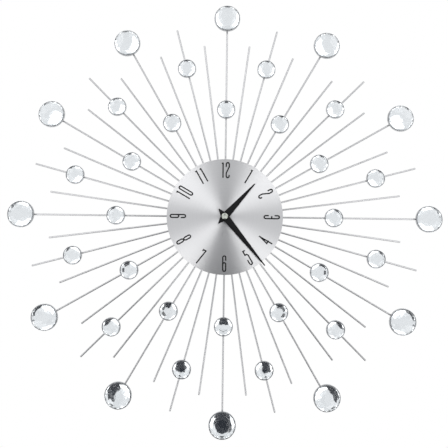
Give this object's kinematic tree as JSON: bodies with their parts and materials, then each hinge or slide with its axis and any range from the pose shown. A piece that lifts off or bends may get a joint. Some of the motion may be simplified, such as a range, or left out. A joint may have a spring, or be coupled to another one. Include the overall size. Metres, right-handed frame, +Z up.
{
  "type": "wall clock",
  "caption": "Sunburst wall clock: welded wire rays tipped with faceted stones in cups round a plain spun dial with kite hands, carried by a battery quartz movement with a hanger.",
  "frame": {"origin": "on the hand arbor's axis, at the rear face of the movement, which rests on the wall", "axes": "+Z up towards twelve o'clock, +X towards three o'clock, and the dial faces -Y, so +Y runs into the wall"},
  "size_m": [0.5008, 0.0302, 0.5008],
  "materials": {
    "ray_steel": "satin silver plate on welded steel wire",
    "crystal": "faceted, silvered behind",
    "dial_aluminium": "spun brushed, with black printed numerals",
    "hand_black": "satin black lacquer",
    "cap_nickel": "satin nickel",
    "brass": "turned and milled",
    "plated_steel": "zinc plated sheet",
    "black_plastic": "moulded",
    "battery_label": "shrunk film label",
    "white_plastic": "moulded acetal",
    "rotor_magnet": "sintered ferrite with a moulded pinion",
    "coil_copper": "enamelled copper winding",
    "board_green": "glass-fibre laminate"
  },
  "bodies": {
    "clock": {"ray_frame": "ray_steel", "hour_crystal_01": "crystal", "hour_crystal_02": "crystal", "hour_crystal_03": "crystal", "hour_crystal_04": "crystal", "hour_crystal_05": "crystal", "hour_crystal_06": "crystal", "hour_crystal_07": "crystal", "hour_crystal_08": "crystal", "hour_crystal_09": "crystal", "hour_crystal_10": "crystal", "hour_crystal_11": "crystal", "hour_crystal_12": "crystal", "inner_crystal_01": "crystal", "inner_crystal_02": "crystal", "inner_crystal_03": "crystal", "inner_crystal_04": "crystal", "inner_crystal_05": "crystal", "inner_crystal_06": "crystal", "inner_crystal_07": "crystal", "inner_crystal_08": "crystal", "inner_crystal_09": "crystal", "inner_crystal_10": "crystal", "inner_crystal_11": "crystal", "inner_crystal_12": "crystal", "outer_crystal_01": "crystal", "outer_crystal_02": "crystal", "outer_crystal_03": "crystal", "outer_crystal_04": "crystal", "outer_crystal_05": "crystal", "outer_crystal_06": "crystal", "outer_crystal_07": "crystal", "outer_crystal_08": "crystal", "outer_crystal_09": "crystal", "outer_crystal_10": "crystal", "outer_crystal_11": "crystal", "outer_crystal_12": "crystal", "dial": "dial_aluminium", "fixing_nut": "brass", "hanger_plate": "plated_steel", "contact_positive": "plated_steel", "contact_negative": "plated_steel", "stator": "plated_steel", "movement_case": "black_plastic", "movement_cover": "black_plastic", "coil": "coil_copper", "circuit_board": "board_green"},
    "minute_work": {"minute_hand": "hand_black", "minute_arbor": "brass", "hand_cap": "cap_nickel"},
    "hour_work": {"hour_hand": "hand_black", "hour_wheel": "brass"},
    "motion_work": {"motion_wheel": "brass"},
    "setting_knob": {"setting_knob": "black_plastic"},
    "rotor": {"rotor": "rotor_magnet"},
    "fifth_wheel": {"fifth_wheel": "white_plastic"},
    "fourth_wheel": {"fourth_wheel": "white_plastic"},
    "third_wheel": {"third_wheel": "white_plastic"},
    "centre_wheel": {"centre_wheel": "white_plastic"},
    "battery": {"battery": "battery_label"}
  },
  "joints": [
    {"name": "minute_turn", "type": "hinge", "parent": "clock", "child": "minute_work", "pos_m": [0, 0, 0], "axis": [0, 1, 0], "continuous": true},
    {"name": "hour_turn", "type": "hinge", "parent": "clock", "child": "hour_work", "pos_m": [0, 0, 0], "axis": [0, 1, 0], "continuous": true},
    {"name": "motion_turn", "type": "hinge", "parent": "clock", "child": "motion_work", "pos_m": [0.00997, 0, 0.00176], "axis": [0, 1, 0], "continuous": true},
    {"name": "knob_turn", "type": "hinge", "parent": "clock", "child": "setting_knob", "pos_m": [0.01772, 0, 0.00826], "axis": [0, 1, 0], "continuous": true},
    {"name": "rotor_turn", "type": "hinge", "parent": "clock", "child": "rotor", "pos_m": [0.01119, 0, 0.01869], "axis": [0, 1, 0], "continuous": true},
    {"name": "fifth_turn", "type": "hinge", "parent": "clock", "child": "fifth_wheel", "pos_m": [0.0047, 0, 0.01926], "axis": [0, 1, 0], "continuous": true},
    {"name": "fourth_turn", "type": "hinge", "parent": "clock", "child": "fourth_wheel", "pos_m": [-0.00244, 0, 0.01666], "axis": [0, 1, 0], "continuous": true},
    {"name": "third_turn", "type": "hinge", "parent": "clock", "child": "third_wheel", "pos_m": [-0.0056, 0, 0.00799], "axis": [0, 1, 0], "continuous": true},
    {"name": "centre_turn", "type": "hinge", "parent": "clock", "child": "centre_wheel", "pos_m": [0, 0, 0], "axis": [0, 1, 0], "continuous": true},
    {"name": "battery_lift", "type": "slide", "parent": "clock", "child": "battery", "axis": [0, 1, 0], "range_m": [0, 0.02]}
  ],
  "couplings": [
    {"joint": "hour_turn", "follows": "minute_turn", "ratio": 0.083333},
    {"joint": "motion_turn", "follows": "minute_turn", "ratio": -0.33333},
    {"joint": "knob_turn", "follows": "minute_turn", "ratio": 1},
    {"joint": "fifth_turn", "follows": "rotor_turn", "ratio": -0.2},
    {"joint": "fourth_turn", "follows": "rotor_turn", "ratio": 0.033333},
    {"joint": "third_turn", "follows": "rotor_turn", "ratio": -0.0044444},
    {"joint": "centre_turn", "follows": "rotor_turn", "ratio": 0.00055556}
  ]
}
